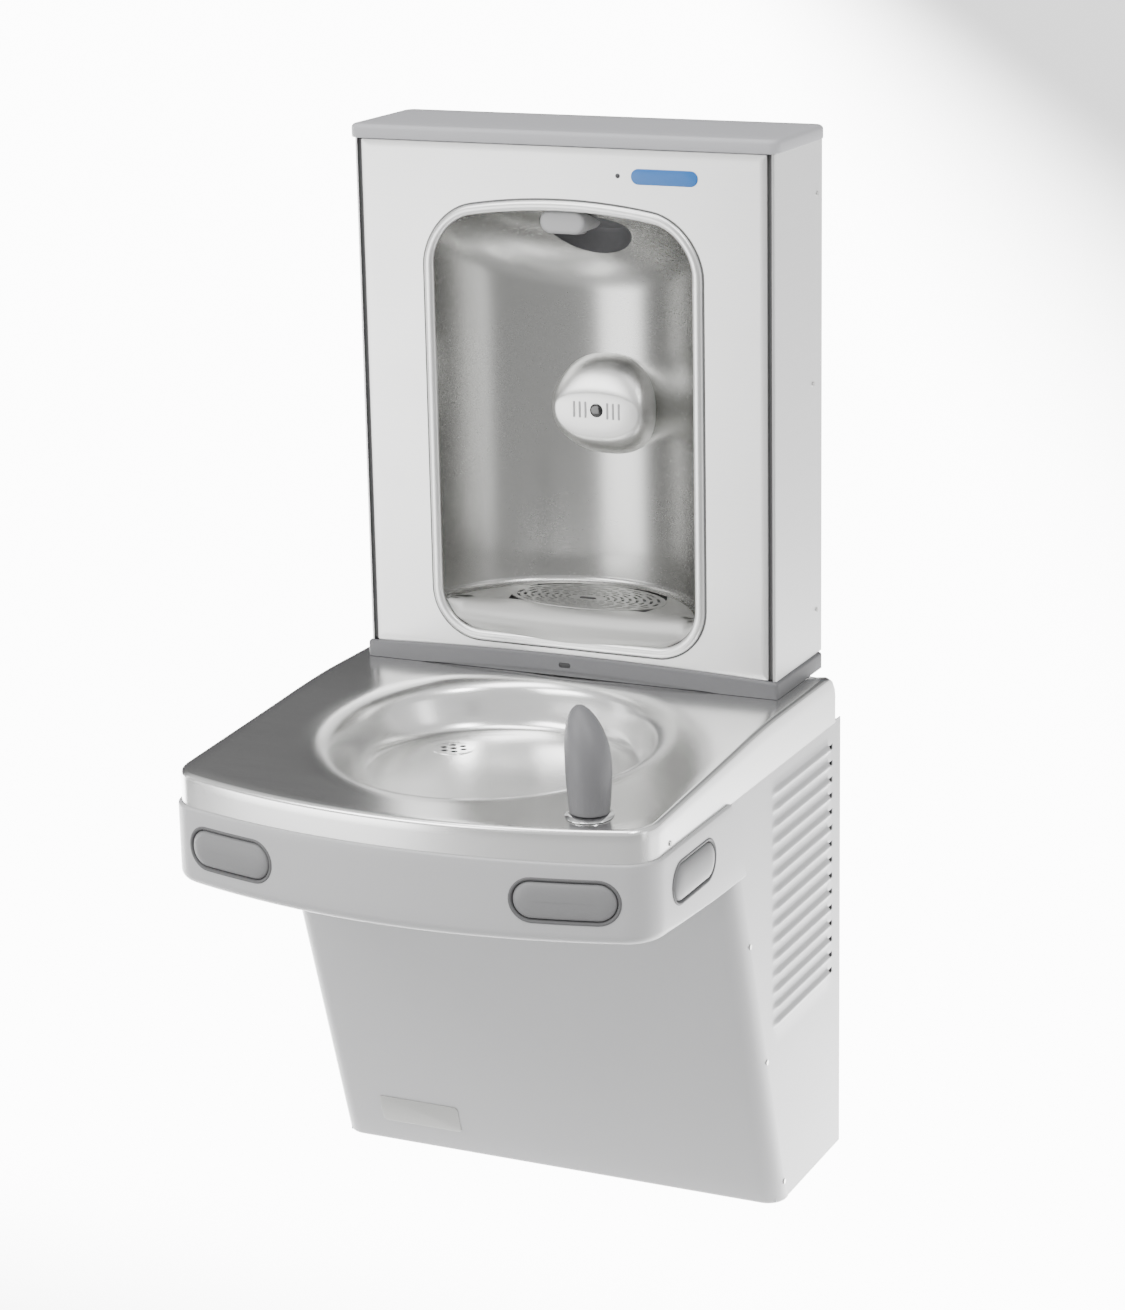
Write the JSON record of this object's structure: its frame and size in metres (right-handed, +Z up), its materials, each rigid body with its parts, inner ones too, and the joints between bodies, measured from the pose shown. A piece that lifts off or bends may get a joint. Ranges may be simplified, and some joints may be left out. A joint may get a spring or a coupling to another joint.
{
  "type": "drinking fountain",
  "caption": "Wall-hung chilled drinking fountain: bowed stainless basin with push pads and bubbler, and a tall bottle-filling tower with a sensor alcove.",
  "frame": {"origin": "centre of the wall plate, on the wall plane, at the height of the basin deck", "axes": "+Z up, +Y into the wall, +X to the right of someone facing the fountain"},
  "size_m": [0.4824, 0.5124, 1.0155],
  "materials": {
    "brushed_stainless": "brushed satin",
    "polished_trim": "bright satin",
    "grey_enamel": "satin powder coat",
    "trim_grey": "satin",
    "pad_grey": "matte moulded",
    "light_plastic": "matte moulded",
    "black_rubber": "matte",
    "dark_plastic": "matte moulded",
    "galvanised_steel": "zinc sheet",
    "brass": "machined",
    "copper": "drawn tube",
    "black_enamel": "gloss",
    "fan_metal": "plain",
    "tank_steel": "plain",
    "foam_black": "closed-cell foam",
    "pipe_plastic": "matte",
    "clear_hose": "smooth",
    "blue_label": "gloss",
    "lens_black": "gloss"
  },
  "bodies": {
    "cabinet": {"wall_plate": "galvanised_steel", "back_frame": "galvanised_steel", "base_pan": "galvanised_steel", "side_panel_left": "grey_enamel", "side_panel_right": "grey_enamel", "front_panel": "grey_enamel", "nameplate": "brushed_stainless", "apron": "grey_enamel", "apron_underpan": "galvanised_steel", "basin": "brushed_stainless", "drain_strainer": "brushed_stainless", "bubbler_guard": "pad_grey", "bubbler_flange": "polished_trim", "bubbler_shank": "brass", "pad_gaskets": "black_rubber", "bellows_front_left": "black_rubber", "bellows_front_right": "black_rubber", "bellows_side_left": "black_rubber", "bellows_side_right": "black_rubber", "pad_switches": "dark_plastic", "tower_shell": "brushed_stainless", "tower_front": "brushed_stainless", "tower_seals": "black_rubber", "tower_cap": "grey_enamel", "tower_trim": "trim_grey", "alcove_liner": "brushed_stainless", "alcove_bezel": "polished_trim", "alcove_grille": "brushed_stainless", "nozzle": "light_plastic", "nozzle_recess": "dark_plastic", "sensor_pod": "brushed_stainless", "sensor_lens": "lens_black", "label_badge": "blue_label", "status_led": "dark_plastic", "control_box": "dark_plastic", "filler_tube": "clear_hose", "waste_pipe": "pipe_plastic", "water_lines": "copper", "inlet_tube": "copper", "regulator_body": "brass", "solenoid_valves": "dark_plastic", "compressor": "black_enamel", "compressor_mounts": "black_rubber", "condenser": "galvanised_steel", "fan_motor": "black_enamel", "fan_shroud": "galvanised_steel", "chiller_tank": "tank_steel", "cooling_coil": "copper", "tank_insulation": "foam_black", "refrigerant_lines": "copper", "thermostat_box": "light_plastic", "terminal_box": "galvanised_steel", "screws": "tank_steel"},
    "pad_front_left_body": {"pad_front_left": "pad_grey"},
    "pad_front_right_body": {"pad_front_right": "pad_grey"},
    "pad_side_left_body": {"pad_side_left": "pad_grey"},
    "pad_side_right_body": {"pad_side_right": "pad_grey"},
    "fan": {"fan_blade": "fan_metal"},
    "thermostat_dial": {"thermostat_knob": "dark_plastic"},
    "stream_adjuster": {"regulator_screw": "tank_steel"}
  },
  "joints": [
    {"name": "press_front_left", "type": "slide", "parent": "cabinet", "child": "pad_front_left_body", "axis": [0.2284, 0.9736, 0], "range_m": [0, 0.004], "stiffness_N_per_m": 900, "deforming": ["bellows_front_left"]},
    {"name": "press_front_right", "type": "slide", "parent": "cabinet", "child": "pad_front_right_body", "axis": [-0.2284, 0.9736, 0], "range_m": [0, 0.004], "stiffness_N_per_m": 900, "deforming": ["bellows_front_right"]},
    {"name": "press_side_left", "type": "slide", "parent": "cabinet", "child": "pad_side_left_body", "axis": [1, 0, 0], "range_m": [0, 0.004], "stiffness_N_per_m": 900, "deforming": ["bellows_side_left"]},
    {"name": "press_side_right", "type": "slide", "parent": "cabinet", "child": "pad_side_right_body", "axis": [-1, 0, 0], "range_m": [0, 0.004], "stiffness_N_per_m": 900, "deforming": ["bellows_side_right"]},
    {"name": "fan_spin", "type": "hinge", "parent": "cabinet", "child": "fan", "pos_m": [-0.172, -0.085, -0.385], "axis": [1, 0, 0], "continuous": true},
    {"name": "thermostat_turn", "type": "hinge", "parent": "cabinet", "child": "thermostat_dial", "pos_m": [0.192, -0.0444, -0.145], "axis": [0, -1, 0], "range_deg": [-135, 135]},
    {"name": "stream_adjust", "type": "hinge", "parent": "cabinet", "child": "stream_adjuster", "pos_m": [0.025, -0.0604, -0.232], "axis": [0, -1, 0], "range_deg": [-90, 270]}
  ]
}
